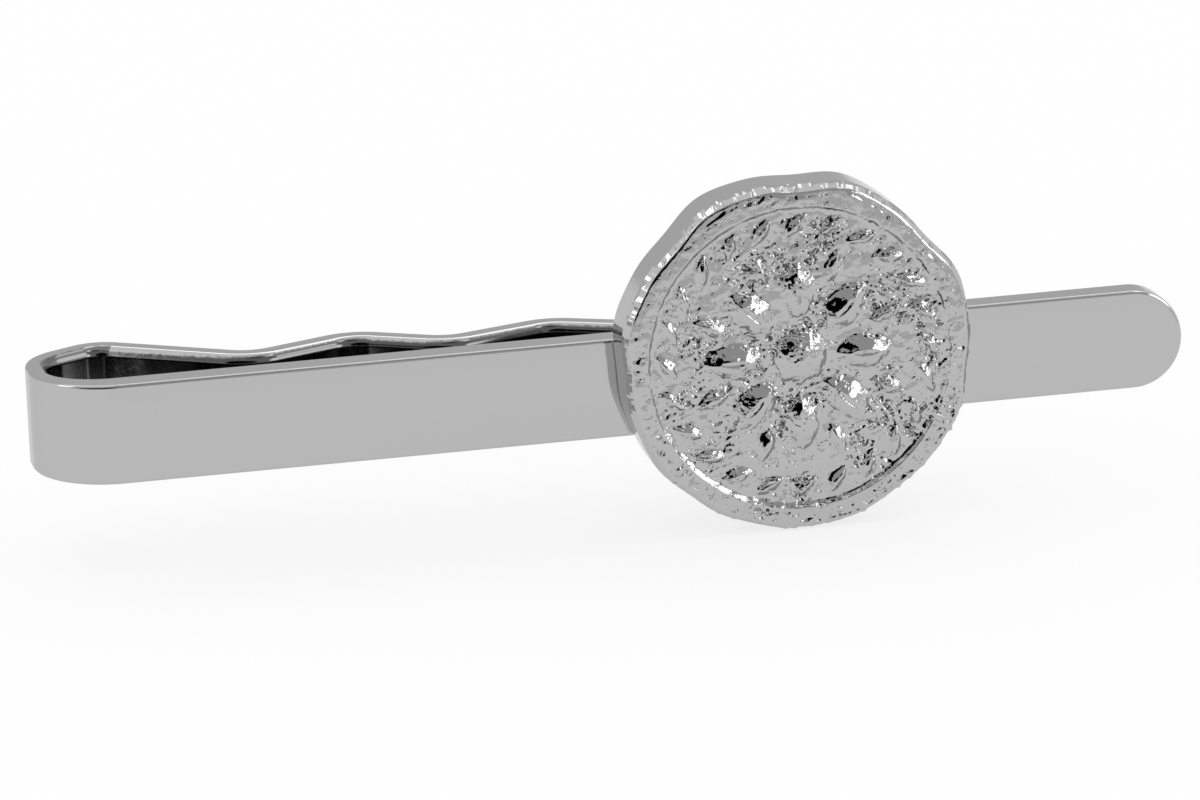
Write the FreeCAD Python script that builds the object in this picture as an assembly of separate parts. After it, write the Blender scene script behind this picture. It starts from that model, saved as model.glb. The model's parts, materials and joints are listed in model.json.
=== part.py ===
import FreeCAD, Part
import math
import os

# Slide tie clip: a strip of plated brass, folded back on itself as a waved spring
# leaf, with a round cast medallion soldered to the front of the bar.
# Millimetres. X runs along the bar from the fold to the round end, Y from the front
# to the back, and Z is up as the clip is worn. The origin lies on the bar's back
# face, at mid height, where the leaf grips the tie.

# Strip: the bar is thicker than the leaf, and the leaf's edges towards the bar are well rounded
strip_width = 5.0
bar_thickness = 1.5
leaf_thickness = 1.1
outer_edge_radius = 0.18
bar_back_edge_radius = 0.12
leaf_inner_edge_radius = 0.55

# Bar, measured from the outside of the fold to the round end
clip_length = 57.2

# Fold, from the bar on: inside radii of its three bends and the flats between them. The
# first bend eases from the bar's cross-section to the leaf's in a number of steps.
fold_front_radius = 2.8
fold_taper_steps = 8
fold_flat = 0.7
fold_rear_radius = 2.0
shoulder_length = 1.36
shoulder_slope = 29.2
root_ridge_radius = 1.1

# Leaf: dips come close to the bar, ridges lie between them
dip_count = 4
first_dip_reach = 11.25
wave_pitch = 9.75
first_dip_height = 1.9
first_ridge_height = 3.5
last_ridge_height = 1.85
wave_radius = 1.8
grip_gap = 0.15
tip_length = 3.6
tip_slope = 24.0

# Medallion
medallion_diameter = 17.9
medallion_reach = 37.05
medallion_rise = 1.47
medallion_wall = 2.4
rim_bevel_inset = 0.42
rim_bevel_depth = 0.5
edge_wear = 0.4
rim_flat = 0.53
field_depth = 0.2
field_step = 0.2

# Waves of wear round the medallion's edge
wear_angle = 281.0
coarse_wear_count = 7
middle_wear_count = 8
fine_wear_count = 15
points_per_wave_count = 5

# Rosette and leaf wreath in relief on the field
boss_radius = 1.45
boss_height = 0.6
petal_count = 8
petal_gap = 0.3
petal_length = 3.1
petal_width = 1.9
petal_height = 0.5
sepal_overhang = 0.85
sepal_length = 1.9
sepal_width = 0.9
sepal_height = 0.32
wreath_count = 24
wreath_margin = 1.0
wreath_length = 1.7
wreath_width = 0.75
wreath_height = 0.3
wreath_lean = 50.0
relief_root = 0.1

# Solder between the bar and the medallion
solder_thickness = 0.08
solder_margin = 0.3

# Derived places
grip_reach = first_dip_reach + (dip_count - 1) * wave_pitch
fold_outside = -grip_reach
half_width = strip_width / 2
bar_end = fold_outside + clip_length
bar_front = -bar_thickness
medallion_x = fold_outside + medallion_reach
medallion_back = bar_front - solder_thickness
rim_face = medallion_back - medallion_wall - rim_bevel_depth
field_face = rim_face + field_depth
field_radius = medallion_diameter / 2 - edge_wear - rim_bevel_inset - rim_flat
petal_place = boss_radius + petal_gap + petal_length / 2
sepal_place = petal_place + petal_length / 2 + sepal_overhang - sepal_length / 2
wreath_place = field_radius - wreath_margin
up = FreeCAD.Vector(0, 0, 1)
across = FreeCAD.Vector(0, 1, 0)
LEFT = OUTER = UPPER = 1
RIGHT = INNER = LOWER = -1


def direction(angle):
    return FreeCAD.Vector(math.cos(angle), math.sin(angle), 0)


def outward(angle):
    """Side of the strip that faces out of the fold, for a strip that runs at angle."""
    return FreeCAD.Vector(-math.sin(angle), math.cos(angle), 0)


def solid_of(pieces):
    """One solid from pieces that touch or overlap."""
    first, *others = pieces
    return first.multiFuse(others).removeSplitter()


class Profile:
    """Cross-section of the strip: its thickness and the radius of the edges that face into the fold."""

    def __init__(self, thickness, inner_radius):
        self.half = thickness / 2
        self.inner_radius = inner_radius


bar_profile = Profile(bar_thickness, bar_back_edge_radius)
leaf_profile = Profile(leaf_thickness, leaf_inner_edge_radius)


def profile_between(share):
    """Cross-section that lies between the bar's, at share 0, and the leaf's, at share 1."""
    half = bar_profile.half + share * (leaf_profile.half - bar_profile.half)
    radius = bar_profile.inner_radius + share * (leaf_profile.inner_radius - bar_profile.inner_radius)
    return Profile(2 * half, radius)


def section_point(middle, angle, depth, height):
    """Point of the strip's cross-section, depth outwards and height up from its middle."""
    return middle + outward(angle) * depth + up * height


def rounded_edge(middle, angle, profile, depth_side, height_side):
    """Rounded edge of the strip: where it leaves the face, its middle and where it meets the edge."""
    radius = outer_edge_radius if depth_side == OUTER else profile.inner_radius
    bow = radius * (1 - math.sqrt(0.5))
    rounds = ((0, radius), (bow, bow), (radius, 0))
    points = []
    for inset, drop in rounds:
        depth = depth_side * (profile.half - inset)
        height = height_side * (half_width - drop)
        points.append(section_point(middle, angle, depth, height))
    return points


def closed_face(corners):
    """Face bounded by an arc through each three-point corner and straight lines between corners."""
    edges = []
    for corner, following in zip(corners, corners[1:] + corners[:1]):
        if len(corner) == 3:
            edges.append(Part.Arc(*corner).toShape())
        edges.append(Part.makeLine(corner[-1], following[0]))
    return Part.Face(Part.Wire(edges))


def strip_section(middle, angle, profile=leaf_profile):
    """Cross-section of the strip, square to its run, with rounded edges."""
    return closed_face([
        rounded_edge(middle, angle, profile, INNER, UPPER),
        rounded_edge(middle, angle, profile, OUTER, UPPER)[::-1],
        rounded_edge(middle, angle, profile, OUTER, LOWER),
        rounded_edge(middle, angle, profile, INNER, LOWER)[::-1],
    ])


def half_section(middle, angle, profile):
    """Upper half of the strip's cross-section."""
    return closed_face([
        [section_point(middle, angle, -profile.half, 0)],
        rounded_edge(middle, angle, profile, INNER, UPPER),
        rounded_edge(middle, angle, profile, OUTER, UPPER)[::-1],
        [section_point(middle, angle, profile.half, 0)],
    ])


def at(reach, height):
    """Point at a reach from the outside of the fold and a height above the bar's back face."""
    return FreeCAD.Vector(fold_outside + reach, height, 0)


class Bend:
    """A round bend of the leaf's strip: its centre, its radius at mid thickness and its turn."""

    def __init__(self, centre, inside_radius, turn):
        self.centre = centre
        self.radius = inside_radius + leaf_profile.half
        self.turn = turn

    def touch(self, angle):
        """Point at mid thickness where the strip runs at angle."""
        return self.centre - outward(angle) * (self.turn * self.radius)


def ridge(reach, height):
    """Wave of the leaf whose inner face is highest above the bar at height."""
    return Bend(at(reach, height - wave_radius), wave_radius, RIGHT)


def dip(reach, height):
    """Wave of the leaf whose inner face comes down to height above the bar."""
    return Bend(at(reach, height + leaf_thickness + wave_radius), wave_radius, LEFT)


def run_angle(start, end):
    """Direction of the straight run that is tangent to two bends."""
    span = end.centre - start.centre
    offset = end.turn * end.radius - start.turn * start.radius
    return math.atan2(span.y, span.x) - math.asin(offset / span.Length)


def fold_bends():
    """Bends of the fold: the first two reach its outside, and the shoulder leads to the third."""
    slope = math.radians(shoulder_slope)
    front = Bend(at(leaf_thickness + fold_front_radius, fold_front_radius), fold_front_radius, RIGHT)
    rear_centre = at(leaf_thickness + fold_rear_radius, fold_front_radius + fold_flat)
    rear = Bend(rear_centre, fold_rear_radius, RIGHT)
    shoulder_end = rear.touch(slope) + direction(slope) * shoulder_length
    root_centre = shoulder_end - outward(slope) * (root_ridge_radius + leaf_profile.half)
    return [front, rear, Bend(root_centre, root_ridge_radius, RIGHT)]


def wave_bends():
    """Dips of the leaf, nearer to the bar from one to the next, with a ridge before each but the first."""
    bends = []
    for i in range(dip_count):
        reach = first_dip_reach + i * wave_pitch
        if i > 0:
            share = (i - 1) / max(dip_count - 2, 1)
            ridge_height = first_ridge_height + share * (last_ridge_height - first_ridge_height)
            bends.append(ridge(reach - wave_pitch / 2, ridge_height))
        share = i / (dip_count - 1)
        dip_height = first_dip_height + share * (grip_gap - first_dip_height)
        bends.append(dip(reach, dip_height))
    return bends


def plain_bend(bend, angle_in, angle_out):
    """Strip of the leaf's cross-section round a bend."""
    sweep = math.degrees(angle_out - angle_in)
    return strip_section(bend.touch(angle_in), angle_in).revolve(bend.centre, up, sweep)


def tapered_bend(bend, angle_in, angle_out):
    """Strip round the fold's first bend, easing from the bar's cross-section to the leaf's."""
    wires = []
    for i in range(fold_taper_steps + 1):
        turned = i / fold_taper_steps
        angle = angle_in + turned * (angle_out - angle_in)
        profile = profile_between(turned ** 2 * (3 - 2 * turned))
        middle = bend.centre + outward(angle) * (fold_front_radius + profile.half)
        wires.append(strip_section(middle, angle, profile).OuterWire)
    return Part.makeLoft(wires, True)


def bent_strip(bends, angle_in, angle_out, first_bend=plain_bend):
    """Strip through the bends in turn, entering at angle_in and leaving at angle_out."""
    angles = [angle_in]
    angles += [run_angle(a, b) for a, b in zip(bends, bends[1:])]
    angles.append(angle_out)
    pieces = []
    for i, bend in enumerate(bends):
        make_bend = first_bend if i == 0 else plain_bend
        pieces.append(make_bend(bend, angles[i], angles[i + 1]))
        if i + 1 < len(bends):
            leave = bend.touch(angles[i + 1])
            arrive = bends[i + 1].touch(angles[i + 1])
            pieces.append(strip_section(leave, angles[i + 1]).extrude(arrive - leave))
    return pieces


def root_angle():
    """Direction of the strip where the fold ends and the leaf begins."""
    return run_angle(fold_bends()[-1], wave_bends()[0])


def root_point():
    return fold_bends()[-1].touch(root_angle())


def round_end(middle, angle, sweep, profile):
    """Half-round end of the strip, swept by half a turn from its upper edge to its lower."""
    return half_section(middle, angle, profile).revolve(middle, outward(angle), sweep)


def make_front_bar():
    end_middle = FreeCAD.Vector(bar_end - half_width, -bar_profile.half, 0)
    length = fold_bends()[0].centre.x - end_middle.x
    straight = strip_section(end_middle, math.pi, bar_profile).extrude(FreeCAD.Vector(length, 0, 0))
    return solid_of([straight, round_end(end_middle, math.pi, -180, bar_profile)])


def make_spring_fold():
    return solid_of(bent_strip(fold_bends(), math.pi, root_angle(), tapered_bend))


def make_grip_leaf():
    bends = wave_bends()
    tip_angle = math.radians(tip_slope)
    first_run = bends[0].touch(root_angle()) - root_point()
    pieces = [strip_section(root_point(), root_angle()).extrude(first_run)]
    pieces += bent_strip(bends, root_angle(), tip_angle)
    tip_start = bends[-1].touch(tip_angle)
    tip_run = direction(tip_angle) * (tip_length - half_width)
    pieces.append(strip_section(tip_start, tip_angle).extrude(tip_run))
    pieces.append(round_end(tip_start + tip_run, tip_angle, 180, leaf_profile))
    return solid_of(pieces)


def make_solder_joint():
    """Thin seam with round ends, inside the bar's flat front and the medallion's back."""
    width = strip_width - 2 * (outer_edge_radius + solder_margin)
    reach = math.sqrt((medallion_diameter / 2) ** 2 - (medallion_rise + half_width) ** 2)
    straight = 2 * (reach - edge_wear - solder_margin) - width
    corner = FreeCAD.Vector(medallion_x - straight / 2, medallion_back, -width / 2)
    pieces = [Part.makeBox(straight, solder_thickness, width, corner)]
    for side in (LEFT, RIGHT):
        end = FreeCAD.Vector(medallion_x + side * straight / 2, medallion_back, 0)
        pieces.append(Part.makeCylinder(width / 2, solder_thickness, end, across))
    return solid_of(pieces)


def edge_wave(angle):
    """Wear of the medallion's edge at an angle, from -1 to 1, coarse waves deepest."""
    counts = (coarse_wear_count, middle_wear_count, fine_wear_count)
    turned = angle + math.radians(wear_angle)
    waves = sum(math.sin(count * turned) / count for count in counts)
    return waves / sum(1 / count for count in counts)


def worn_outline(inset, depth):
    """Edge of the medallion, worn in gentle waves and drawn in by inset."""
    point_count = points_per_wave_count * fine_wear_count
    points = []
    for i in range(point_count):
        angle = 2 * math.pi * i / point_count
        radius = medallion_diameter / 2 - inset - edge_wear * (1 + edge_wave(angle)) / 2
        x = medallion_x + radius * math.cos(angle)
        z = medallion_rise + radius * math.sin(angle)
        points.append(FreeCAD.Vector(x, depth, z))
    curve = Part.BSplineCurve()
    curve.interpolate(points, PeriodicFlag=True)
    return Part.Wire(curve.toShape())


def field_point(radius, angle):
    """Point on the field at a radius and at an angle from the top, clockwise from the front."""
    x = medallion_x + radius * math.sin(angle)
    z = medallion_rise + radius * math.cos(angle)
    return FreeCAD.Vector(x, field_face, z)


def domed_leaf(length, width, height):
    """Pointed leaf with a rounded back, its base on Y = 0 and its long axis along Z."""
    half = length / 2
    back_radius = (half ** 2 + height ** 2) / (2 * height)
    depth = back_radius - height
    side = (half ** 2 - (width / 2) ** 2) / width
    ball_radius = math.hypot(side, back_radius)
    left_ball = Part.makeSphere(ball_radius, FreeCAD.Vector(-side, depth, 0))
    right_ball = Part.makeSphere(ball_radius, FreeCAD.Vector(side, depth, 0))
    reach = length + width
    above = Part.makeBox(reach, reach, reach, FreeCAD.Vector(-reach / 2, relief_root - reach, -reach / 2))
    return left_ball.common(right_ball).common(above)


def leaf_ring(count, place, length, width, height, lean=0.0, offset=0.0):
    """Leaves set evenly round the field, each turned by lean from pointing outwards."""
    leaf = domed_leaf(length, width, height)
    ring = []
    for i in range(count):
        angle = 2 * math.pi * (i + offset) / count
        copy = leaf.copy()
        copy.rotate(FreeCAD.Vector(0, 0, 0), across, math.degrees(angle) + lean)
        copy.translate(field_point(place, angle))
        ring.append(copy)
    return ring


def make_boss():
    ball_radius = (boss_radius ** 2 + boss_height ** 2) / (2 * boss_height)
    centre = field_point(0, 0) + across * (ball_radius - boss_height)
    ball = Part.makeSphere(ball_radius, centre)
    reach = 2 * ball_radius
    corner = field_point(0, 0) + FreeCAD.Vector(-reach / 2, relief_root - reach, -reach / 2)
    return ball.common(Part.makeBox(reach, reach, reach, corner))


def make_medallion():
    wall_front = medallion_back - medallion_wall
    edges = [
        worn_outline(0, medallion_back),
        worn_outline(0, wall_front),
        worn_outline(rim_bevel_inset, rim_face),
    ]
    disc = Part.makeLoft(edges, True, True)
    rim_centre = FreeCAD.Vector(medallion_x, rim_face, medallion_rise)
    field = Part.makeCone(field_radius, field_radius - field_step, field_depth, rim_centre, across)
    relief = [make_boss()]
    relief += leaf_ring(petal_count, petal_place, petal_length, petal_width, petal_height)
    relief += leaf_ring(petal_count, sepal_place, sepal_length, sepal_width, sepal_height, offset=0.5)
    relief += leaf_ring(wreath_count, wreath_place, wreath_length, wreath_width, wreath_height, wreath_lean)
    return solid_of([disc.cut(field)] + relief)


def main():
    nodes = {
        "front_bar": make_front_bar(),
        "spring_fold": make_spring_fold(),
        "grip_leaf": make_grip_leaf(),
        "medallion": make_medallion(),
        "solder_joint": make_solder_joint(),
    }
    os.makedirs("parts", exist_ok=True)
    for name, shape in nodes.items():
        shape.exportStep("parts/" + name + ".step")
        print(name, "solids", len(shape.Solids), "valid", shape.isValid(), "mm3", round(shape.Volume, 2))
    hinge = root_point() + outward(root_angle()) * leaf_profile.half
    print("leaf hinge at", round(hinge.x, 4), round(hinge.y, 4))


main()
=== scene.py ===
import json
import math
import bmesh
import bpy
from mathutils import Matrix, Vector, noise

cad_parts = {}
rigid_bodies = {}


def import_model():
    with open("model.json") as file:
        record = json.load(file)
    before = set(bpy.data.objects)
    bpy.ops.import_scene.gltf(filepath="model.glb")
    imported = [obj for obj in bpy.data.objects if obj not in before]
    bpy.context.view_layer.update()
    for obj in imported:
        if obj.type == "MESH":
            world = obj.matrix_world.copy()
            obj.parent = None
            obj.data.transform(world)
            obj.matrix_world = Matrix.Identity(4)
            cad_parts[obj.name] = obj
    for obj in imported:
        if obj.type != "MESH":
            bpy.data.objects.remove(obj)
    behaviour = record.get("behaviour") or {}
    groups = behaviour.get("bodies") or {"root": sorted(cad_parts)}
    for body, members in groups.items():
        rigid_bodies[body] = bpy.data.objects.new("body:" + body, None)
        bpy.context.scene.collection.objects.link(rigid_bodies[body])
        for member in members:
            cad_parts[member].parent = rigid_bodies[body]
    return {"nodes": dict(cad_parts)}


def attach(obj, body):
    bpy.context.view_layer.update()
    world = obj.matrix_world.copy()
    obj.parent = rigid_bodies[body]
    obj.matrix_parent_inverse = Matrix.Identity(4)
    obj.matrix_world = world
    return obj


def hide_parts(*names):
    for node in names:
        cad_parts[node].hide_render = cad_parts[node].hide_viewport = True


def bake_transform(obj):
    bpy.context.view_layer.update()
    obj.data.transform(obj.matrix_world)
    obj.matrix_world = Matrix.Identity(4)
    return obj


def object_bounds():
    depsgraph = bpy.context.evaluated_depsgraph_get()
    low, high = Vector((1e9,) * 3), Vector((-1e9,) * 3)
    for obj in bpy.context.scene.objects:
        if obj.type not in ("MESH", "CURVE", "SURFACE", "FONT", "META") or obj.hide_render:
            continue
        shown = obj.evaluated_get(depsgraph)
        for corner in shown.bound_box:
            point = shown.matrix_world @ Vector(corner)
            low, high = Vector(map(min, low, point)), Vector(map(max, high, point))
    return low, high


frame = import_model()
cad_low, cad_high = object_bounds()

# Slide tie clip. Pieces are shaped in millimetres, in the frame's place, and brought to
# metres when they are done: several tools round off near a tenth of a millimetre.
METRES_PER_MM = 0.001
UP = Vector((0, 0, 1))

# Points this near each other are one, points this near a plane lie on it, and from this share on
# a face looks along an axis or an edge spans the strip.
SAME_POINT = 0.001
SAME_LEVEL = 0.01
NEARLY = 0.9

# Strip
STRIP_WIDTH = 5.0
BAR_THICKNESS = 1.5
LEAF_THICKNESS = 1.1
OUTER_EDGE_RADIUS = 0.18
BAR_BACK_RADIUS = 0.12
LEAF_INNER_RADIUS = 0.55
EDGE_SEGMENTS = 8
ROUND_END_POINTS = 120
STRIP_SMOOTH_ANGLE = math.radians(35)
HALF_WIDTH = STRIP_WIDTH / 2
CLIP_LENGTH = 57.2

# Fold and leaf, as bent
LEFT = 1
RIGHT = -1
FOLD_FRONT_RADIUS = 2.8
FOLD_FLAT = 0.7
FOLD_REAR_RADIUS = 2.0
SHOULDER_LENGTH = 1.36
SHOULDER_SLOPE = math.radians(29.2)
ROOT_RIDGE_RADIUS = 1.1
DIP_COUNT = 4
FIRST_DIP_REACH = 11.25
WAVE_PITCH = 9.75
FIRST_DIP_HEIGHT = 1.9
FIRST_RIDGE_HEIGHT = 3.5
LAST_RIDGE_HEIGHT = 1.85
WAVE_RADIUS = 1.8
GRIP_GAP = 0.15
TIP_LENGTH = 3.6
TIP_SLOPE = math.radians(24)
BEND_STEP = math.radians(0.6)
GRIP_REACH = FIRST_DIP_REACH + (DIP_COUNT - 1) * WAVE_PITCH
FOLD_OUTSIDE = -GRIP_REACH
BAR_END = FOLD_OUTSIDE + CLIP_LENGTH

# Where shade is painted on the strip inside: the middle of the hollow, how squarely and how near a point
# has to face it, and on the leaf how far a point has to turn to the bar or away from it. The bar is cut
# across at some reaches, so that the painted shade can fade along it.
HOLLOW_REACH = 4.0
HOLLOW_HEIGHT = 3.0
HOLLOW_FACING = (0.1, 0.6)
HOLLOW_NEAR = (13.0, 5.0)
LEAF_REACH = 5.0
FACING_BAR = (0.4, 0.8)
FACING_AWAY = (-0.2, 0.1)
BAR_CUTS = (6.0, 8.0, 10.0, 12.0, 14.0, 16.0)

# Medallion. The bevel's rings are pairs of inset and depth, its marks are pairs of length and
# share of the inset, and the edge's chips are pairs of length and depth.
MEDALLION_RADIUS = 17.9 / 2
MEDALLION_X = FOLD_OUTSIDE + 37.05
MEDALLION_Z = 1.47
SOLDER_THICKNESS = 0.08
WALL_DEPTH = 2.4
MEDALLION_BACK = -BAR_THICKNESS - SOLDER_THICKNESS
WALL_FRONT = MEDALLION_BACK - WALL_DEPTH
BACK_EDGE = 0.12
BEVEL_INSET = 0.42
BEVEL_DEPTH = 0.5
BEVEL_RINGS = ((0.25, 0.38), (0.56, 0.5))
BEVEL_MIDDLE = 0.3
BEVEL_WAVE = (1.5, 0.3)
BEVEL_STREAK = (0.32, 0.2)
EDGE_CHIPS = ((1.1, 0.26), (0.45, 0.1))
CHIP_DEPTH = 0.25
RIM_FACE = WALL_FRONT - BEVEL_DEPTH
RIM_WIDTH = 0.53
EDGE_WEAR = 0.4
WEAR_COUNTS = (7, 8, 15)
WEAR_ANGLE = math.radians(281)
MARK_START = 0.4
OUTLINE_POINTS = 720
FIELD_RADIUS = MEDALLION_RADIUS - EDGE_WEAR - BEVEL_INSET - RIM_WIDTH
FIELD_DEPTH = 0.2
FIELD_FACE = RIM_FACE + FIELD_DEPTH
FIELD_STEP = 0.2
FIELD_MARGIN = 0.2
WALL_MARGIN = 0.05

# Relief: places from the middle of the field, and sizes as length, width and height
RELIEF_ROOT = 0.1
BOSS_RADIUS = 1.45
BOSS_HEIGHT = 0.6
PETAL_COUNT = 8
PETAL_PLACE = 3.3
PETAL_SIZE = (3.1, 1.9, 0.5)
SEPAL_PLACE = 4.75
SEPAL_SIZE = (1.9, 0.9, 0.32)
WREATH_COUNT = 24
WREATH_PLACE = FIELD_RADIUS - 1.0
WREATH_SIZE = (1.7, 0.75, 0.3)
WREATH_LEAN = math.radians(50)
VEIN_SHARE = (0.42, 0.07, 0.3)
LEAF_POINTS = (96, 64)
VEIN_POINTS = 24
BOSS_POINTS = (64, 48)

# Casting's mesh: the length of its edges, how close a cut counts as on a point, and the angle from
# which its edges stay sharp
CASTING_MESH = 0.062
CASTING_CUT = 0.0001
CASTING_SMOOTH_ANGLE = math.radians(55)

# Wear of the casting: its name, size in millimetres, the greys of the clouds that place it where
# it begins and is full, its depth in millimetres, its group and its octaves
CASTING_WEAR = (
    ("cast swell", 0.9, 0.2, 0.8, 0.085, "front", 1),
    ("cast grain", 0.4, 0.3, 0.75, 0.035, "grained", 2),
    ("knocks", 0.5, 0.3, 0.7, 0.09, "battered", 2),
    ("pits", 0.45, 0.56, 0.63, 0.12, "pitted", 2),
    ("small pits", 0.22, 0.58, 0.65, 0.1, "pitted", 1))

# Where the casting wears. Bands run from no wear to full wear: in from the edge, forward of the
# wall, in from and out from the field's border, round the lower half, over patches, up the relief.
FRONT_BAND = (0.6 * BEVEL_INSET, 1.3 * BEVEL_INSET)
FORWARD_BAND = (0.0, 0.1)
FIELD_BAND = (0.1, 0.6)
RIM_BAND = (0.0, 0.2)
LOWER_BAND = (-0.5, 0.5)
PATCH_BAND = (-0.4, 0.4)
PATCH_SCALE = 0.55
PATCH_PLACE = Vector((3.1, 0, 7.7))
RAISED_BAND = (0.08, 0.25)
RELIEF_BAND = (0.2, 0.4)
UPPER_RIM_GRAIN = 0.7
UPPER_RIM_PITS = 0.3
LOWER_RIM_PITS = 0.8
UPPER_RIM_PINHOLES = 0.5
PATCHY_PINHOLES = 0.25
RUBBED_PITS = 0.8
RUBBED_PINHOLES = 0.6

# Finishes, their patterns in marks to the millimetre and their bumps in millimetres. Hairlines
# are drawn coarser than real ones, as coarse as they need to be to show.
PLATE_GREY = "#B8B8B8"
# Darker grey of the shade painted into the plate inside the fold and on the leaf's side facing the bar
HOLLOW_SHADE_GREY = "#767676"
SOLDER_GREY = "#A5A5A6"
EDGE_TINT = "#E7E7E7"
# Grains that give the painted shade inside a ragged edge
SHADE_EDGE_GRAINS = 5.0
INSIDE_DULLING = 0.07
HAIRLINES = (0.15, 4.0, 9.0)
HAIRLINE_DEPTH = 0.01
STRIP_CLOUDS = 0.22
CASTING_GRAINS = 4.0
CASTING_GRAIN_DEPTH = 0.03
PINHOLES = 3.0
PINHOLE_DEPTH = 0.034
CASTING_CLOUDS = 0.6
SOLDER_GRAINS = 2.5
SOLDER_GRAIN_DEPTH = 0.02

# Camera, at the photograph's angle
YAW = 0.199071
PITCH = 0.266062
ROLL = 0.041062
FOCAL_PIXELS = 8150.5
IMAGE_WIDTH = 1200
SENSOR_WIDTH = 36.0
CAMERA_DISTANCE = 400.0
AIM = Vector((-13.0, -1.1, 0.0))
SHIFT_RIGHT = -0.1719
SHIFT_UP = 0.5857

# Studio, in metres. A card has a name, a place from the lit spot, half its size, a strength and
# a number of corners. Gaps are the dark of the room between the lamps.
LIT_SPOT = Vector((-0.0036, -0.004, 0.001))
PANEL = 4
ROUND = 64
CARDS = (
    ("front_flag", (0.0, -0.55, 0.42), (1.2, 0.48), 0.5, PANEL),
    ("front_low", (0.0, -0.6, 0.055), (1.2, 0.05), 0.7, PANEL),
    ("camera_gap", (-0.208, -0.427, 0.155), (0.29, 0.16), 0.0, ROUND),
    ("upper_gap", (0.0, -0.22, 0.45), (0.13, 0.045), 0.0, ROUND),
    ("top_strip", (0.05, -0.04, 0.5), (0.36, 0.032), 1.0, PANEL),
    ("rear_strip", (0.095, 0.235, 0.425), (0.25, 0.055), 2.2, PANEL),
    ("left_softbox", (-0.388, 0.015, 0.315), (0.05, 0.145), 3.0, ROUND),
    ("right_softbox", (0.416, -0.119, 0.25), (0.15, 0.155), 2.6, ROUND),
    ("front_softbox", (0.33, -0.34, 0.15), (0.1, 0.1), 3.0, ROUND),
    ("upper_softbox", (0.2, -0.12, 0.44), (0.06, 0.06), 3.0, ROUND),
    ("back_card", (0.05, 0.6, 0.42), (1.0, 0.45), 0.74, PANEL))
FLOOR_SIZE = 4.0
FLOOR_WHITE = "#FDFDFD"
FLOOR_GLOW = 0.75
PAPER_SIZE = 1.2
PAPER_Y = -0.625
PAPER_LIFT = 0.0002


def linear(hex_colour):
    """Linear RGBA of an sRGB hex colour."""
    values = []
    for i in (1, 3, 5):
        share = int(hex_colour[i:i + 2], 16) / 255
        values.append(share / 12.92 if share <= 0.04045 else ((share + 0.055) / 1.055) ** 2.4)
    return (*values, 1.0)


def add_node(tree, kind, links=None, **settings):
    """Adds a node; settings go to its properties or its input sockets, links feed its inputs."""
    node = tree.nodes.new(kind)
    for name, value in settings.items():
        if name in node.bl_rna.properties:
            setattr(node, name, value)
        else:
            node.inputs[name.replace("_", " ")].default_value = value
    for name, source in (links or {}).items():
        tree.links.new(source, node.inputs[name])
    return node


def new_material(name):
    """Empty node material, its node tree and its output node."""
    material = bpy.data.materials.new(name)
    material.use_nodes = True
    material.node_tree.nodes.clear()
    output = add_node(material.node_tree, "ShaderNodeOutputMaterial")
    return material, material.node_tree, output


def per_metre(marks):
    """Texture scale for a number of marks to the millimetre."""
    return marks / METRES_PER_MM


def plated_strip():
    """Rhodium plate on polished brass strip: a bright neutral mirror that gains little at a slant, a
    little cloudy from buffing, with faint hairlines along the strip, and on the inside shade painted
    into its colour, a darker grey with a ragged edge, where the plate is also a little duller."""
    material, tree, output = new_material("polished rhodium plate")
    place = add_node(tree, "ShaderNodeTexCoord").outputs["Object"]
    # The inside mask carries painted shade: it turns the plate's grey to the darker grey of the shade
    inside = add_node(tree, "ShaderNodeAttribute", attribute_name="inside").outputs["Fac"]
    grains = add_node(
        tree, "ShaderNodeTexNoise", {"Vector": place}, Scale=per_metre(SHADE_EDGE_GRAINS), Detail=3.0)
    ragged = add_node(tree, "ShaderNodeMath", {0: grains.outputs[0], 1: inside}, operation="ADD")
    painted_shade = add_node(
        tree, "ShaderNodeMapRange", {"Value": ragged.outputs[0]}, From_Min=0.85, From_Max=1.2)
    tone = add_node(tree, "ShaderNodeMix", {"Factor": painted_shade.outputs[0]}, data_type="RGBA")
    tone.inputs[6].default_value = linear(PLATE_GREY)
    tone.inputs[7].default_value = linear(HOLLOW_SHADE_GREY)
    along = [per_metre(marks) for marks in HAIRLINES]
    hairline = add_node(tree, "ShaderNodeMapping", {"Vector": place}, Scale=along)
    lines = add_node(tree, "ShaderNodeTexNoise", {"Vector": hairline.outputs[0]}, Scale=1.0, Detail=3.0)
    scratch = add_node(
        tree, "ShaderNodeBump", {"Height": lines.outputs[0]},
        Strength=0.04, Distance=HAIRLINE_DEPTH * METRES_PER_MM)
    haze = add_node(
        tree, "ShaderNodeTexNoise", {"Vector": place}, Scale=per_metre(STRIP_CLOUDS), Detail=4.0)
    cloud = add_node(tree, "ShaderNodeMapRange", {"Value": haze.outputs[0]}, To_Min=0.04, To_Max=0.09)
    dull = add_node(tree, "ShaderNodeMath", {0: inside, 2: cloud.outputs[0]}, operation="MULTIPLY_ADD")
    dull.inputs[1].default_value = INSIDE_DULLING
    shader = add_node(
        tree, "ShaderNodeBsdfPrincipled",
        {"Base Color": tone.outputs[2], "Roughness": dull.outputs[0], "Normal": scratch.outputs[0]},
        Metallic=1.0, Specular_Tint=linear(EDGE_TINT))
    tree.links.new(shader.outputs[0], output.inputs[0])
    return material


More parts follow.
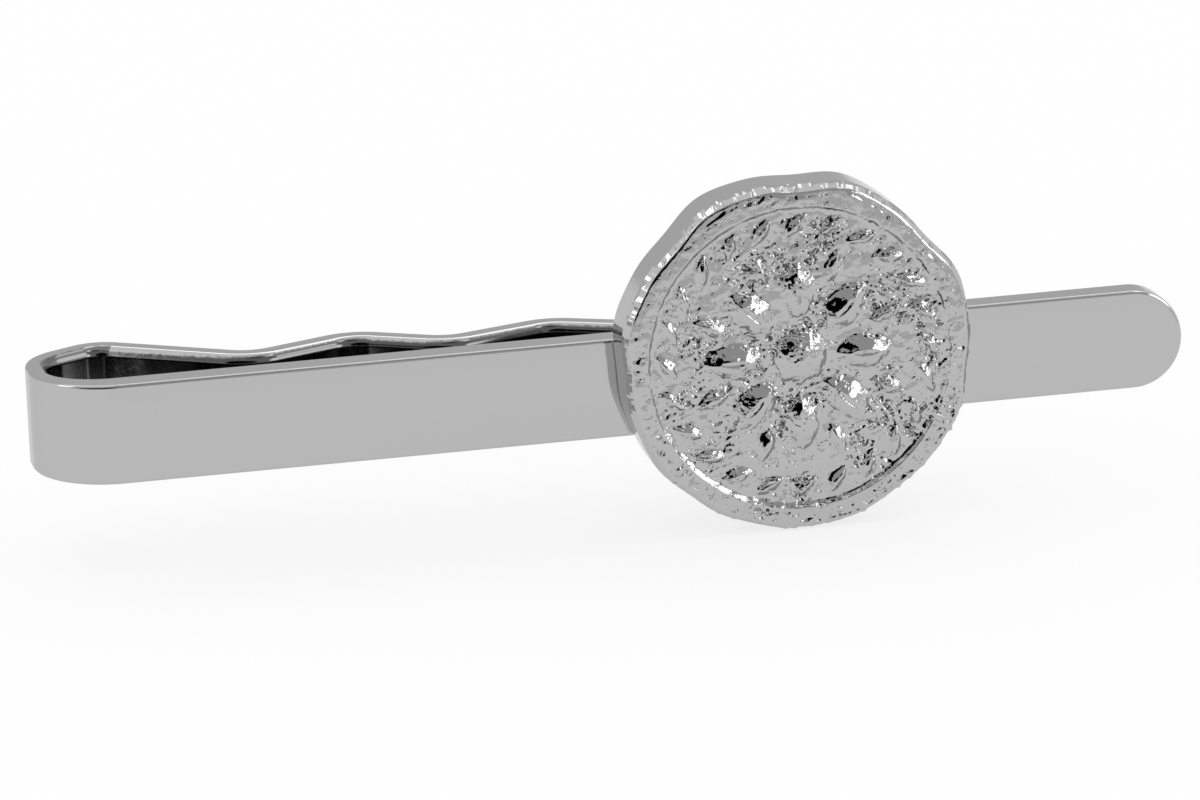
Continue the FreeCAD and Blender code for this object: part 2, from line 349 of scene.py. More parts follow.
def plated_casting():
    """Rhodium plate on a worn casting: the same mirror over a pebbled skin, with pinholes that
    glint and go dark where the casting is worn."""
    material, tree, output = new_material("rhodium plate on casting")
    place = add_node(tree, "ShaderNodeTexCoord").outputs["Object"]
    worn = add_node(tree, "ShaderNodeAttribute", attribute_name="worn").outputs["Fac"]
    grain = add_node(
        tree, "ShaderNodeTexNoise", {"Vector": place}, Scale=per_metre(CASTING_GRAINS), Detail=3.0)
    skin = add_node(
        tree, "ShaderNodeBump", {"Height": grain.outputs[0]},
        Strength=0.3, Distance=CASTING_GRAIN_DEPTH * METRES_PER_MM)
    specks = add_node(
        tree, "ShaderNodeTexNoise", {"Vector": place}, Scale=per_metre(PINHOLES), Detail=1.5)
    holes = add_node(
        tree, "ShaderNodeMapRange", {"Value": specks.outputs[0], "To Max": worn},
        From_Min=0.6, From_Max=0.68)
    pinholes = add_node(
        tree, "ShaderNodeBump", {"Height": holes.outputs[0], "Normal": skin.outputs[0]},
        invert=True, Strength=1.0, Distance=PINHOLE_DEPTH * METRES_PER_MM)
    haze = add_node(
        tree, "ShaderNodeTexNoise", {"Vector": place}, Scale=per_metre(CASTING_CLOUDS), Detail=4.0)
    cloud = add_node(tree, "ShaderNodeMapRange", {"Value": haze.outputs[0]}, To_Min=0.03, To_Max=0.07)
    shader = add_node(
        tree, "ShaderNodeBsdfPrincipled", {"Roughness": cloud.outputs[0], "Normal": pinholes.outputs[0]},
        Base_Color=linear(PLATE_GREY), Metallic=1.0, Specular_Tint=linear(EDGE_TINT))
    tree.links.new(shader.outputs[0], output.inputs[0])
    return material


def solder_metal():
    """Plated solder: greyer and duller than the strip, slightly grainy."""
    material, tree, output = new_material("plated solder")
    place = add_node(tree, "ShaderNodeTexCoord").outputs["Object"]
    grain = add_node(
        tree, "ShaderNodeTexNoise", {"Vector": place}, Scale=per_metre(SOLDER_GRAINS), Detail=3.0)
    skin = add_node(
        tree, "ShaderNodeBump", {"Height": grain.outputs[0]},
        Strength=0.3, Distance=SOLDER_GRAIN_DEPTH * METRES_PER_MM)
    shader = add_node(
        tree, "ShaderNodeBsdfPrincipled", {"Normal": skin.outputs[0]},
        Base_Color=linear(SOLDER_GREY), Metallic=1.0, Roughness=0.35)
    tree.links.new(shader.outputs[0], output.inputs[0])
    return material


def clear_selection():
    """Nothing selected and no active object, so that a tool acts on new work alone."""
    for thing in bpy.context.view_layer.objects:
        thing.select_set(False)
    bpy.context.view_layer.objects.active = None


def use(piece):
    """The piece alone selected and active."""
    clear_selection()
    piece.select_set(True)
    bpy.context.view_layer.objects.active = piece


def begin_edit():
    """Edit mode on the active piece, with nothing selected."""
    bpy.ops.object.mode_set(mode="EDIT")
    bpy.ops.mesh.select_all(action="DESELECT")


def end_edit():
    bpy.ops.object.mode_set(mode="OBJECT")


def pick(elements, test):
    """Selects, in edit mode, the faces, edges or verts that pass a test, and nothing else."""
    kinds = {"verts": "VERT", "edges": "EDGE", "faces": "FACE"}
    bpy.ops.mesh.select_mode(type=kinds[elements])
    bpy.ops.mesh.select_all(action="DESELECT")
    mesh = bpy.context.edit_object.data
    shape = bmesh.from_edit_mesh(mesh)
    for element in getattr(shape, elements):
        if test(element):
            element.select_set(True)
    shape.select_flush_mode()
    bmesh.update_edit_mesh(mesh)


def extrude(move):
    """Draws the selection out by a move."""
    bpy.ops.mesh.extrude_region_move(TRANSFORM_OT_translate={"value": move})


def apply_place():
    bpy.ops.object.transform_apply(location=True, rotation=True, scale=True)


def apply_modifier(piece, kind, **settings):
    """Adds a modifier to the active piece and applies it."""
    modifier = piece.modifiers.new(kind.lower(), kind)
    for name, value in settings.items():
        setattr(modifier, name, value)
    bpy.ops.object.modifier_apply(modifier=modifier.name)


def to_metres(piece, name):
    """Names the finished piece, brings it from millimetres to the frame's metres and trims the
    micron or less by which a finer arc stands proud of the frame's box."""
    use(piece)
    piece.name = name
    piece.data.name = name
    piece.scale = (METRES_PER_MM,) * 3
    apply_place()
    for vert in piece.data.vertices:
        vert.co = [min(max(value, low), high) for value, low, high in zip(vert.co, cad_low, cad_high)]
    return piece


def smooth_step(low, high, value):
    """0 at low and 1 at high, with a smooth rise between them."""
    share = min(1.0, max(0.0, (value - low) / (high - low)))
    return share * share * (3 - 2 * share)


def outward(angle):
    """Side of the strip that faces out of the fold, for a strip that runs at angle."""
    return Vector((-math.sin(angle), math.cos(angle), 0))


def direction(angle):
    """Way that a strip runs at angle."""
    return Vector((math.cos(angle), math.sin(angle), 0))


class Bend:
    """A round bend of the strip: its centre, its radius at mid thickness and its turn."""

    def __init__(self, centre, inside_radius, turn):
        self.centre = centre
        self.radius = inside_radius + LEAF_THICKNESS / 2
        self.turn = turn

    def touch(self, angle):
        """Point at mid thickness where the strip runs at angle."""
        return self.centre - outward(angle) * (self.turn * self.radius)


def at(reach, height):
    """Point at a reach from the outside of the fold and a height behind the bar."""
    return Vector((FOLD_OUTSIDE + reach, height, 0))


def run_angle(start, end):
    """Direction of the straight run that is tangent to two bends."""
    span = end.centre - start.centre
    offset = end.turn * end.radius - start.turn * start.radius
    return math.atan2(span.y, span.x) - math.asin(offset / span.length)


def fold_bends():
    """The fold's front and rear bends and the ridge at the leaf's root."""
    front_centre = at(LEAF_THICKNESS + FOLD_FRONT_RADIUS, FOLD_FRONT_RADIUS)
    front = Bend(front_centre, FOLD_FRONT_RADIUS, RIGHT)
    rear_centre = at(LEAF_THICKNESS + FOLD_REAR_RADIUS, FOLD_FRONT_RADIUS + FOLD_FLAT)
    rear = Bend(rear_centre, FOLD_REAR_RADIUS, RIGHT)
    shoulder_end = rear.touch(SHOULDER_SLOPE) + direction(SHOULDER_SLOPE) * SHOULDER_LENGTH
    root = shoulder_end - outward(SHOULDER_SLOPE) * (ROOT_RIDGE_RADIUS + LEAF_THICKNESS / 2)
    return [front, rear, Bend(root, ROOT_RIDGE_RADIUS, RIGHT)]


def wave_bends():
    """The leaf's dips, which come nearer to the bar one by one, with the ridges between them."""
    bends = []
    for i in range(DIP_COUNT):
        reach = FIRST_DIP_REACH + i * WAVE_PITCH
        if i > 0:
            share = (i - 1) / (DIP_COUNT - 2)
            height = FIRST_RIDGE_HEIGHT + share * (LAST_RIDGE_HEIGHT - FIRST_RIDGE_HEIGHT)
            bends.append(Bend(at(reach - WAVE_PITCH / 2, height - WAVE_RADIUS), WAVE_RADIUS, RIGHT))
        share = i / (DIP_COUNT - 1)
        height = FIRST_DIP_HEIGHT + share * (GRIP_GAP - FIRST_DIP_HEIGHT)
        bends.append(Bend(at(reach, height + LEAF_THICKNESS + WAVE_RADIUS), WAVE_RADIUS, LEFT))
    return bends


ROOT_ANGLE = run_angle(fold_bends()[-1], wave_bends()[0])


def follow_bends(bends, angles):
    """Carries the selected end face round each bend in turn and along the straights between."""
    for i, bend in enumerate(bends):
        sweep = angles[i + 1] - angles[i]
        steps = max(2, math.ceil(abs(sweep) / BEND_STEP))
        bpy.ops.mesh.spin(steps=steps, angle=-sweep, center=bend.centre, axis=UP)
        if i + 1 < len(bends):
            leave = bend.touch(angles[i + 1])
            arrive = bends[i + 1].touch(angles[i + 1])
            extrude(arrive - leave)


def half_round_bar(end_x, middle_y, straight, thickness, radii):
    """Flat bar with a half-round right end and rounded front and back edges, its cut left end selected."""
    cut = end_x - HALF_WIDTH
    left = cut - straight
    clear_selection()
    bpy.ops.mesh.primitive_cylinder_add(
        vertices=ROUND_END_POINTS, radius=HALF_WIDTH, depth=thickness, end_fill_type="NGON",
        rotation=(math.pi / 2, 0, 0), location=(cut, middle_y, 0))
    apply_place()
    begin_edit()
    bpy.ops.mesh.select_all(action="SELECT")
    bpy.ops.mesh.bisect(
        plane_co=(cut, 0, 0), plane_no=(1, 0, 0), use_fill=True, clear_inner=True, threshold=SAME_POINT)
    pick("faces", lambda face: face.normal.x < -NEARLY)
    extrude((-straight, 0, 0))

    def on_rim(edge, y):
        first, second = edge.verts
        flat = abs(first.co.y - y) < SAME_LEVEL and abs(second.co.y - y) < SAME_LEVEL
        upright = abs(first.co.x - second.co.x) < SAME_POINT
        across = upright and abs(first.co.z - second.co.z) > STRIP_WIDTH * NEARLY
        return flat and not across

    for y, radius in zip((middle_y - thickness / 2, middle_y + thickness / 2), radii):
        pick("edges", lambda edge: on_rim(edge, y))
        bpy.ops.mesh.bevel(offset=radius, segments=EDGE_SEGMENTS, profile=0.5, affect="EDGES")
    pick("faces", lambda face: (
        face.normal.x < -NEARLY and face.calc_center_median().x < left + SAME_LEVEL))
    return bpy.context.edit_object


def mark_inside_shade(piece):
    """How far each point of the strip faces the hollow of the fold or, on the leaf, the bar: the mask
    of the shade painted there, which also makes the plate a little duller."""
    hollow = at(HOLLOW_REACH, HOLLOW_HEIGHT) * METRES_PER_MM
    leaf_start = at(LEAF_REACH, 0.0) * METRES_PER_MM
    values = piece.data.attributes.new("inside", "FLOAT", "POINT").data
    for vert, value in zip(piece.data.vertices, values):
        towards = hollow - Vector((vert.co.x, vert.co.y, 0))
        facing = vert.normal.dot(towards.normalized())
        shaded = smooth_step(*HOLLOW_FACING, facing)
        shaded *= smooth_step(*HOLLOW_NEAR, towards.length / METRES_PER_MM)
        # On the leaf, the side facing the bar gets painted shade and the side facing out keeps none
        if vert.co.x > leaf_start.x and vert.co.y > leaf_start.y:
            facing_out = smooth_step(*FACING_AWAY, vert.normal.y)
            shaded = max(shaded * (1 - facing_out), smooth_step(*FACING_BAR, -vert.normal.y))
        value.value = shaded


def finish_strip(piece, name):
    """Outward normals, smooth shading that keeps the flats flat, and the mask of the shade painted inside."""
    bpy.ops.mesh.select_all(action="SELECT")
    bpy.ops.mesh.remove_doubles(threshold=SAME_POINT)
    bpy.ops.mesh.normals_make_consistent(inside=False)
    end_edit()
    bpy.ops.object.shade_smooth_by_angle(angle=STRIP_SMOOTH_ANGLE)
    apply_modifier(piece, "WEIGHTED_NORMAL", mode="FACE_AREA", weight=100, keep_sharp=True)
    to_metres(piece, name)
    mark_inside_shade(piece)
    return piece


def make_front_bar():
    """The bar, cut across near the fold so that the shade painted inside can fade along it."""
    straight = BAR_END - HALF_WIDTH - fold_bends()[0].centre.x
    radii = (OUTER_EDGE_RADIUS, BAR_BACK_RADIUS)
    piece = half_round_bar(BAR_END, -BAR_THICKNESS / 2, straight, BAR_THICKNESS, radii)
    for reach in BAR_CUTS:
        bpy.ops.mesh.select_all(action="SELECT")
        bpy.ops.mesh.bisect(plane_co=at(reach, 0), plane_no=(1, 0, 0))
    return finish_strip(piece, "bar_strip")


def ease_to_bar(piece, bend):
    """Thickens the fold's first bend towards the bar and sharpens its inner edges to the bar's."""
    shape = bmesh.from_edit_mesh(piece.data)
    for vert in shape.verts:
        out = vert.co - bend.centre
        if out.x > SAME_POINT or out.y > SAME_POINT:
            continue
        share = smooth_step(0, math.pi / 2, math.atan2(-out.x, -out.y))
        spoke = Vector((out.x, out.y, 0)).normalized()
        depth = out.to_2d().length - FOLD_FRONT_RADIUS
        if depth > LEAF_THICKNESS - OUTER_EDGE_RADIUS - SAME_LEVEL:
            depth += (1 - share) * (BAR_THICKNESS - LEAF_THICKNESS)
            height = abs(out.z)
        else:
            turn = math.atan2(abs(out.z) - HALF_WIDTH + LEAF_INNER_RADIUS, LEAF_INNER_RADIUS - depth)
            radius = BAR_BACK_RADIUS + share * (LEAF_INNER_RADIUS - BAR_BACK_RADIUS)
            depth = radius * (1 - math.cos(turn))
            height = HALF_WIDTH - radius * (1 - math.sin(turn))
        vert.co = bend.centre + spoke * (FOLD_FRONT_RADIUS + depth) + UP * math.copysign(height, out.z)
    bmesh.update_edit_mesh(piece.data)


def make_spring_fold():
    """The fold: the strip's section, carried round its three bends and eased to the bar's section."""
    bends = fold_bends()
    start = bends[0].touch(math.pi)
    clear_selection()
    bpy.ops.mesh.primitive_plane_add(size=1, rotation=(0, math.pi / 2, 0), location=start)
    piece = bpy.context.object
    piece.scale = (STRIP_WIDTH, LEAF_THICKNESS, 1)
    apply_place()
    begin_edit()
    for side, radius in ((-1, OUTER_EDGE_RADIUS), (1, LEAF_INNER_RADIUS)):
        corner_y = start.y + side * LEAF_THICKNESS / 2
        pick("verts", lambda vert: (
            abs(vert.co.y - corner_y) < SAME_POINT and abs(vert.co.z) > HALF_WIDTH - SAME_POINT))
        bpy.ops.mesh.bevel(offset=radius, segments=EDGE_SEGMENTS, profile=0.5, affect="VERTICES")
    pick("faces", lambda face: True)
    angles = [math.pi, run_angle(bends[0], bends[1]), run_angle(bends[1], bends[2]), ROOT_ANGLE]
    follow_bends(bends, angles)
    ease_to_bar(piece, bends[0])
    return finish_strip(piece, "fold_strip")


def make_grip_leaf():
    """The leaf, from its turned-up tip back over the waves to the fold."""
    bends = wave_bends()[::-1]
    tip_start = bends[0].touch(TIP_SLOPE)
    radii = (LEAF_INNER_RADIUS, OUTER_EDGE_RADIUS)
    piece = half_round_bar(
        tip_start.x + TIP_LENGTH, tip_start.y, TIP_LENGTH - HALF_WIDTH, LEAF_THICKNESS, radii)
    turn = Matrix.Translation(tip_start) @ Matrix.Rotation(TIP_SLOPE, 4, "Z") @ Matrix.Translation(-tip_start)
    shape = bmesh.from_edit_mesh(piece.data)
    bmesh.ops.transform(shape, matrix=turn, verts=shape.verts)
    bmesh.update_edit_mesh(piece.data)
    angles = [TIP_SLOPE]
    angles += [run_angle(before, after) for after, before in zip(bends, bends[1:])]
    angles.append(ROOT_ANGLE)
    follow_bends(bends, angles)
    extrude(fold_bends()[-1].touch(ROOT_ANGLE) - bends[-1].touch(ROOT_ANGLE))
    return finish_strip(piece, "leaf_strip")


strip_finish = plated_strip()
bar_strip = make_front_bar()
fold_strip = make_spring_fold()
leaf_strip = make_grip_leaf()
for piece in (bar_strip, fold_strip, leaf_strip):
    piece.data.materials.clear()
    piece.data.materials.append(strip_finish)
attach(bar_strip, "bar")
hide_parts("front_bar")
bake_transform(fold_strip)
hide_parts("spring_fold")
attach(leaf_strip, "leaf")
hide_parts("grip_leaf")


def worn_radius(angle):
    """Radius of the medallion's edge, worn in gentle waves."""
    turned = angle + WEAR_ANGLE
    wave = sum(math.sin(count * turned) / count for count in WEAR_COUNTS)
    wave /= sum(1 / count for count in WEAR_COUNTS)
    return MEDALLION_RADIUS - EDGE_WEAR * (1 + wave) / 2


def uneven(angle, size, share):
    """Hand finish round the edge: up to about half of share either way, in marks of size millimetres."""
    spot = Vector((math.cos(angle), math.sin(angle), MARK_START)) * (MEDALLION_RADIUS / size)
    return share * noise.noise(spot)


def chipped_radius(angle):
    """Radius of the wall's front edge, with small chips in it."""
    return worn_radius(angle) - sum(abs(uneven(angle, *chip)) for chip in EDGE_CHIPS)


def face_polar(co):
    """Radius and angle of a point about the medallion's axis."""
    x = co.x - MEDALLION_X
    z = co.z - MEDALLION_Z
    return math.hypot(x, z), math.atan2(z, x)


def set_ring(piece, radius_at):
    """Brings the selected ring to a radius that may change round the edge."""
    shape = bmesh.from_edit_mesh(piece.data)
    for vert in shape.verts:
        if vert.select:
            _, angle = face_polar(vert.co)
            radius = radius_at(angle)
            vert.co.x = MEDALLION_X + radius * math.cos(angle)
            vert.co.z = MEDALLION_Z + radius * math.sin(angle)
    bmesh.update_edit_mesh(piece.data)


def make_disc():
    """Thick disc with a worn outline, an uneven bevel, a flat rim and a sunken field."""
    clear_selection()
    bpy.ops.mesh.primitive_cylinder_add(
        vertices=OUTLINE_POINTS, radius=MEDALLION_RADIUS, depth=MEDALLION_BACK - WALL_FRONT,
        end_fill_type="NGON", rotation=(math.pi / 2, 0, 0),
        location=(MEDALLION_X, (MEDALLION_BACK + WALL_FRONT) / 2, MEDALLION_Z))
    apply_place()
    disc = bpy.context.object
    begin_edit()
    pick("verts", lambda vert: True)
    set_ring(disc, worn_radius)
    pick("faces", lambda face: face.normal.y < -NEARLY)
    pushed = 0.0
    for inset, depth in BEVEL_RINGS:
        extrude((0, pushed - depth, 0))
        set_ring(disc, lambda angle: worn_radius(angle) - inset * (1 + uneven(angle, *BEVEL_WAVE)))
        pushed = depth
    bpy.ops.mesh.inset(thickness=FIELD_STEP)
    set_ring(disc, lambda angle: FIELD_RADIUS)
    extrude((0, FIELD_DEPTH, 0))
    set_ring(disc, lambda angle: FIELD_RADIUS - FIELD_STEP)
    end_edit()
    return disc


def trim_root(piece):
    """Cuts a relief form off a little behind the field it stands on, at Y = 0."""
    use(piece)
    begin_edit()
    bpy.ops.mesh.select_all(action="SELECT")
    bpy.ops.mesh.bisect(plane_co=(0, RELIEF_ROOT, 0), plane_no=(0, 1, 0), use_fill=True, clear_outer=True)
    end_edit()


def make_leaf(length, width, height):
    """Pointed leaf with a rounded back and a vein, its base on Y = 0 and its long axis along Z."""
    half = length / 2
    back_radius = (half ** 2 + height ** 2) / (2 * height)
    side = (half ** 2 - (width / 2) ** 2) / width
    ball = math.hypot(side, back_radius)
    depth = back_radius - height
    segments, rings = LEAF_POINTS
    balls = []
    for x in (side, -side):
        clear_selection()
        bpy.ops.mesh.primitive_uv_sphere_add(
            segments=segments, ring_count=rings, radius=ball, location=(x, depth, 0))
        apply_place()
        balls.append(bpy.context.object)
    other, leaf = balls
    apply_modifier(leaf, "BOOLEAN", operation="INTERSECT", object=other)
    bpy.data.objects.remove(other)
    clear_selection()
    bpy.ops.mesh.primitive_uv_sphere_add(
        segments=VEIN_POINTS, ring_count=VEIN_POINTS, radius=1, location=(0, -height, 0))
    vein = bpy.context.object
    long_share, wide_share, deep_share = VEIN_SHARE
    vein.scale = (wide_share * width, deep_share * height, long_share * length)
    apply_place()
    use(leaf)
    apply_modifier(leaf, "BOOLEAN", operation="DIFFERENCE", object=vein)
    bpy.data.objects.remove(vein)
    trim_root(leaf)
    return leaf


def leaf_ring(count, place, size, lean=0.0, offset=0.0):
    """Leaves set evenly round the field, clockwise from the top, each turned by lean."""
    leaf = make_leaf(*size)
    ring = []
    for i in range(count):
        angle = 2 * math.pi * (i + offset) / count
        copy = leaf.copy()
        copy.data = leaf.data.copy()
        bpy.context.scene.collection.objects.link(copy)
        spot = (MEDALLION_X + place * math.sin(angle), FIELD_FACE, MEDALLION_Z + place * math.cos(angle))
        copy.data.transform(Matrix.Translation(spot) @ Matrix.Rotation(angle + lean, 4, "Y"))
        ring.append(copy)
    bpy.data.objects.remove(leaf)
    return ring


def make_boss():
    """Low round boss for the middle of the field."""
    ball = (BOSS_RADIUS ** 2 + BOSS_HEIGHT ** 2) / (2 * BOSS_HEIGHT)
    segments, rings = BOSS_POINTS
    clear_selection()
    bpy.ops.mesh.primitive_uv_sphere_add(
        segments=segments, ring_count=rings, radius=ball, location=(0, ball - BOSS_HEIGHT, 0))
    apply_place()
    boss = bpy.context.object
    trim_root(boss)
    boss.data.transform(Matrix.Translation((MEDALLION_X, FIELD_FACE, MEDALLION_Z)))
    return boss


def mark_wear(piece):
    """Vertex groups for the wear: the whole front, its grain, the battered lower rim and the patches
    of pits, and the attribute that places the finest pinholes."""
    names = ("front", "grained", "battered", "pitted")
    groups = {name: piece.vertex_groups.new(name=name) for name in names}
    values = piece.data.attributes.new("worn", "FLOAT", "POINT").data
    for vert, value in zip(piece.data.vertices, values):
        radius, angle = face_polar(vert.co)
        front = smooth_step(*FRONT_BAND, worn_radius(angle) - radius)
        front *= smooth_step(*FORWARD_BAND, WALL_FRONT - vert.co.y)
        field = smooth_step(*FIELD_BAND, FIELD_RADIUS - radius)
        rim = smooth_step(*RIM_BAND, radius - FIELD_RADIUS)
        lower_rim = rim * smooth_step(*LOWER_BAND, -math.sin(angle))
        patch = smooth_step(*PATCH_BAND, noise.noise(vert.co * PATCH_SCALE + PATCH_PLACE))
        raised = smooth_step(*RAISED_BAND, FIELD_FACE - vert.co.y)
        rubbed = raised * smooth_step(*RELIEF_BAND, FIELD_RADIUS - radius)
        pits = max(UPPER_RIM_PITS, field, LOWER_RIM_PITS * lower_rim) * (1 - RUBBED_PITS * rubbed)
        pinholes = max(UPPER_RIM_PINHOLES, field, lower_rim) * (1 - RUBBED_PINHOLES * rubbed)
        weights = {
            "front": front,
            "grained": front * max(UPPER_RIM_GRAIN, field, lower_rim),
            "battered": front * lower_rim,
            "pitted": front * pits * patch}
        for name, weight in weights.items():
            groups[name].add([vert.index], weight, "REPLACE")
        value.value = front * pinholes * (1 - PATCHY_PINHOLES + PATCHY_PINHOLES * patch)


def sink(piece, name, size, low, high, depth, group, octaves):
    """Sinks a group's surface by up to depth where clouds of a size, with their greys stretched
    from low to high, are bright."""
    texture = bpy.data.textures.new(name, "CLOUDS")
    texture.noise_scale = size
    texture.noise_depth = octaves
    texture.noise_basis = "IMPROVED_PERLIN"
    texture.use_color_ramp = True
    dark, bright = texture.color_ramp.elements
    dark.position = low
    dark.color = (0, 0, 0, 1)
    bright.position = high
    bright.color = (1, 1, 1, 1)
    apply_modifier(
        piece, "DISPLACE", texture=texture, strength=-depth, mid_level=0.0, vertex_group=group,
        texture_coords="LOCAL")


def outside_field(co):
    """Whether a point of the disc lies on the rim, the edge or the back."""
    return face_polar(co)[0] > FIELD_RADIUS + FIELD_MARGIN or co.y > WALL_FRONT + WALL_MARGIN


def rebuild_edge(piece):
    """Cuts away all behind the middle of the bevel, and draws the bevel's outer half with its
    streaks, a chipped edge, a plain wall and a plain back from the cut."""
    cut = WALL_FRONT - BEVEL_MIDDLE
    inset = BEVEL_MIDDLE * BEVEL_RINGS[0][0] / BEVEL_RINGS[0][1]
    begin_edit()
    pick("faces", lambda face: outside_field(face.calc_center_median()))
    bpy.ops.mesh.bisect(plane_co=(0, cut, 0), plane_no=(0, 1, 0), clear_outer=True, threshold=CASTING_CUT)
    bpy.ops.mesh.select_mode(type="EDGE")
    bpy.ops.mesh.select_all(action="DESELECT")
    bpy.ops.mesh.select_non_manifold()
    bpy.ops.mesh.remove_doubles(threshold=CASTING_MESH / 3)
    set_ring(piece, lambda angle: chipped_radius(angle) - inset * (
        1 + uneven(angle, *BEVEL_WAVE) + uneven(angle, *BEVEL_STREAK)))
    extrude((0, BEVEL_MIDDLE, 0))
    set_ring(piece, chipped_radius)
    bpy.ops.mesh.mark_sharp()
    extrude((0, CHIP_DEPTH, 0))
    set_ring(piece, worn_radius)
    extrude((0, MEDALLION_BACK - BACK_EDGE - WALL_FRONT - CHIP_DEPTH, 0))
    bpy.ops.mesh.mark_sharp()
    extrude((0, BACK_EDGE, 0))
    set_ring(piece, lambda angle: worn_radius(angle) - BACK_EDGE)
    bpy.ops.mesh.mark_sharp()
    bpy.ops.mesh.edge_face_add()
    bpy.ops.mesh.select_all(action="SELECT")
    bpy.ops.mesh.normals_make_consistent(inside=False)
    end_edit()


def make_medallion():
    """Disc and relief, made one skin, softened and worn, with the edge drawn anew."""
    parts = [make_disc(), make_boss()]
    parts += leaf_ring(PETAL_COUNT, PETAL_PLACE, PETAL_SIZE)
    parts += leaf_ring(PETAL_COUNT, SEPAL_PLACE, SEPAL_SIZE, offset=0.5)
    parts += leaf_ring(WREATH_COUNT, WREATH_PLACE, WREATH_SIZE, lean=WREATH_LEAN)
    use(parts[0])
    for part in parts:
        part.select_set(True)
    bpy.ops.object.join()
    piece = bpy.context.object
    apply_modifier(piece, "REMESH", mode="VOXEL", voxel_size=CASTING_MESH)
    apply_modifier(piece, "SMOOTH", factor=0.5, iterations=5)
    mark_wear(piece)
    for wear in CASTING_WEAR:
        sink(piece, *wear)
    rebuild_edge(piece)
    piece.vertex_groups.clear()
    to_metres(piece, "medallion_casting")
    bpy.ops.object.shade_smooth_by_angle(angle=CASTING_SMOOTH_ANGLE)
    return piece


casting_finish = plated_casting()
medallion_casting = make_medallion()
medallion_casting.data.materials.clear()
medallion_casting.data.materials.append(casting_finish)
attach(medallion_casting, "bar")
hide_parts("medallion")
solder = frame["nodes"]["solder_joint"]
solder.data.materials.clear()
solder.data.materials.append(solder_metal())


def make_camera():
    """Camera at the photograph's place, turn and focal length."""
    flat_right = Vector((math.cos(YAW), -math.sin(YAW), 0))
    flat_ahead = Vector((math.sin(YAW), math.cos(YAW), 0))
    ahead = flat_ahead * math.cos(PITCH) - UP * math.sin(PITCH)
    above = UP * math.cos(PITCH) + flat_ahead * math.sin(PITCH)
    right = flat_right * math.cos(ROLL) - above * math.sin(ROLL)
    top = flat_right * math.sin(ROLL) + above * math.cos(ROLL)
    place = (AIM - right * SHIFT_RIGHT - top * SHIFT_UP - ahead * CAMERA_DISTANCE) * METRES_PER_MM
    lens = bpy.data.cameras.new("camera")
    lens.sensor_width = SENSOR_WIDTH
    lens.lens = FOCAL_PIXELS * SENSOR_WIDTH / IMAGE_WIDTH
    lens.clip_start = 0.01
    lens.clip_end = 10.0
    camera = bpy.data.objects.new("camera", lens)
    bpy.context.scene.collection.objects.link(camera)
    axes = Matrix((right, top, -ahead)).transposed()
    camera.matrix_world = Matrix.Translation(place) @ axes.to_4x4()
    bpy.context.scene.camera = camera


def make_world():
    """Plain white light from all round."""
    world = bpy.data.worlds.new("studio")
    world.use_nodes = True
    background = world.node_tree.nodes["Background"]
    background.inputs["Color"].default_value = (1, 1, 1, 1)
    background.inputs["Strength"].default_value = 1.0
    bpy.context.scene.world = world


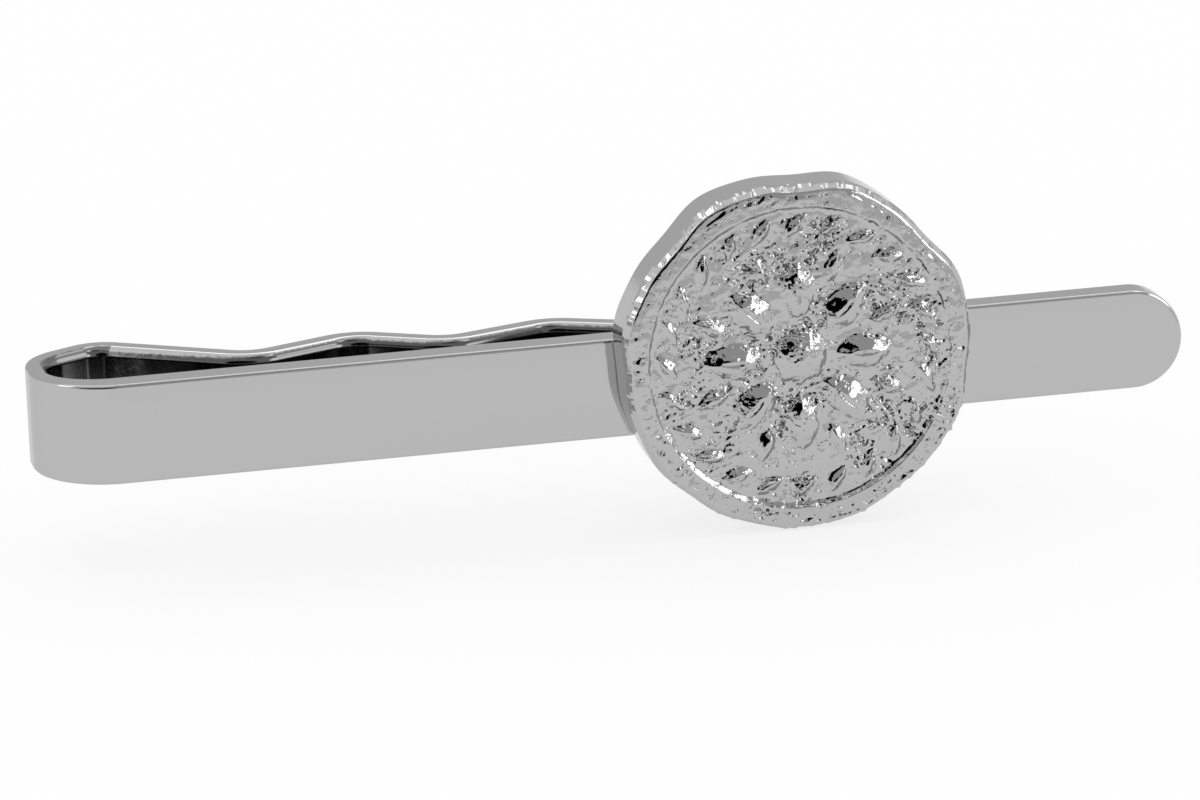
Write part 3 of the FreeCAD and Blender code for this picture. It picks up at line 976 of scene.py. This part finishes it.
def make_floor():
    """Pale floor: for the most part a plain white to the camera and in the metal, and for the rest
    paint that keeps the shadow."""
    material, tree, output = new_material("white floor")
    rays = add_node(tree, "ShaderNodeLightPath").outputs
    seen = rays["Is Camera Ray"]
    for ray in ("Is Glossy Ray", "Is Transmission Ray"):
        seen = add_node(tree, "ShaderNodeMath", {0: seen, 1: rays[ray]}, operation="MAXIMUM").outputs[0]
    share = add_node(tree, "ShaderNodeMath", {0: seen}, operation="MULTIPLY")
    share.inputs[1].default_value = FLOOR_GLOW
    paint = add_node(tree, "ShaderNodeBsdfDiffuse", Color=linear(FLOOR_WHITE))
    glow = add_node(tree, "ShaderNodeEmission", Strength=1.0)
    mix = add_node(
        tree, "ShaderNodeMixShader", {0: share.outputs[0], 1: paint.outputs[0], 2: glow.outputs[0]})
    tree.links.new(mix.outputs[0], output.inputs[0])
    clear_selection()
    bpy.ops.mesh.primitive_plane_add(size=FLOOR_SIZE, location=(0, 0, cad_low.z))
    floor = bpy.context.object
    floor.name = "floor"
    floor.data.materials.append(material)


def only_reflected(card):
    """Hides a card from all but reflections."""
    card.visible_camera = False
    card.visible_diffuse = False
    card.visible_shadow = False


def make_front_paper():
    """Pale paper on the floor before the clip, that only reflections see: it greys away from the clip."""
    material, tree, output = new_material("front paper")
    place = add_node(tree, "ShaderNodeTexCoord").outputs["Object"]
    away = add_node(tree, "ShaderNodeSeparateXYZ", {0: place}).outputs["Y"]
    fade = add_node(
        tree, "ShaderNodeMapRange", {"Value": away}, interpolation_type="SMOOTHSTEP",
        From_Min=-0.028, From_Max=-0.075, To_Min=1.0, To_Max=0.7)
    glow = add_node(tree, "ShaderNodeEmission", {"Strength": fade.outputs[0]})
    tree.links.new(glow.outputs[0], output.inputs[0])
    clear_selection()
    bpy.ops.mesh.primitive_plane_add(size=PAPER_SIZE, location=(0, PAPER_Y, cad_low.z + PAPER_LIFT))
    apply_place()
    paper = bpy.context.object
    paper.name = "front_paper"
    only_reflected(paper)
    paper.data.materials.append(material)


def make_card(name, place, half_size, strength, corners):
    """Studio card, round or square, that faces the clip and that only reflections see."""
    material, tree, output = new_material(name)
    glow = add_node(tree, "ShaderNodeEmission", Strength=strength)
    tree.links.new(glow.outputs[0], output.inputs[0])
    clear_selection()
    bpy.ops.mesh.primitive_circle_add(vertices=corners, radius=1, fill_type="NGON")
    if corners == PANEL:
        bpy.ops.transform.rotate(value=math.pi / 4, orient_axis="Z", center_override=(0, 0, 0))
        bpy.ops.transform.resize(value=(math.sqrt(2), math.sqrt(2), 1))
        apply_place()
    card = bpy.context.object
    card.name = name
    card.location = LIT_SPOT + Vector(place)
    card.scale = (*half_size, 1)
    card.rotation_euler = (-Vector(place)).to_track_quat("Z", "Y").to_euler()
    only_reflected(card)
    card.data.materials.append(material)


make_camera()
make_world()
make_floor()
make_front_paper()
for card in CARDS:
    make_card(*card)

bpy.context.scene.view_settings.view_transform = "Standard"
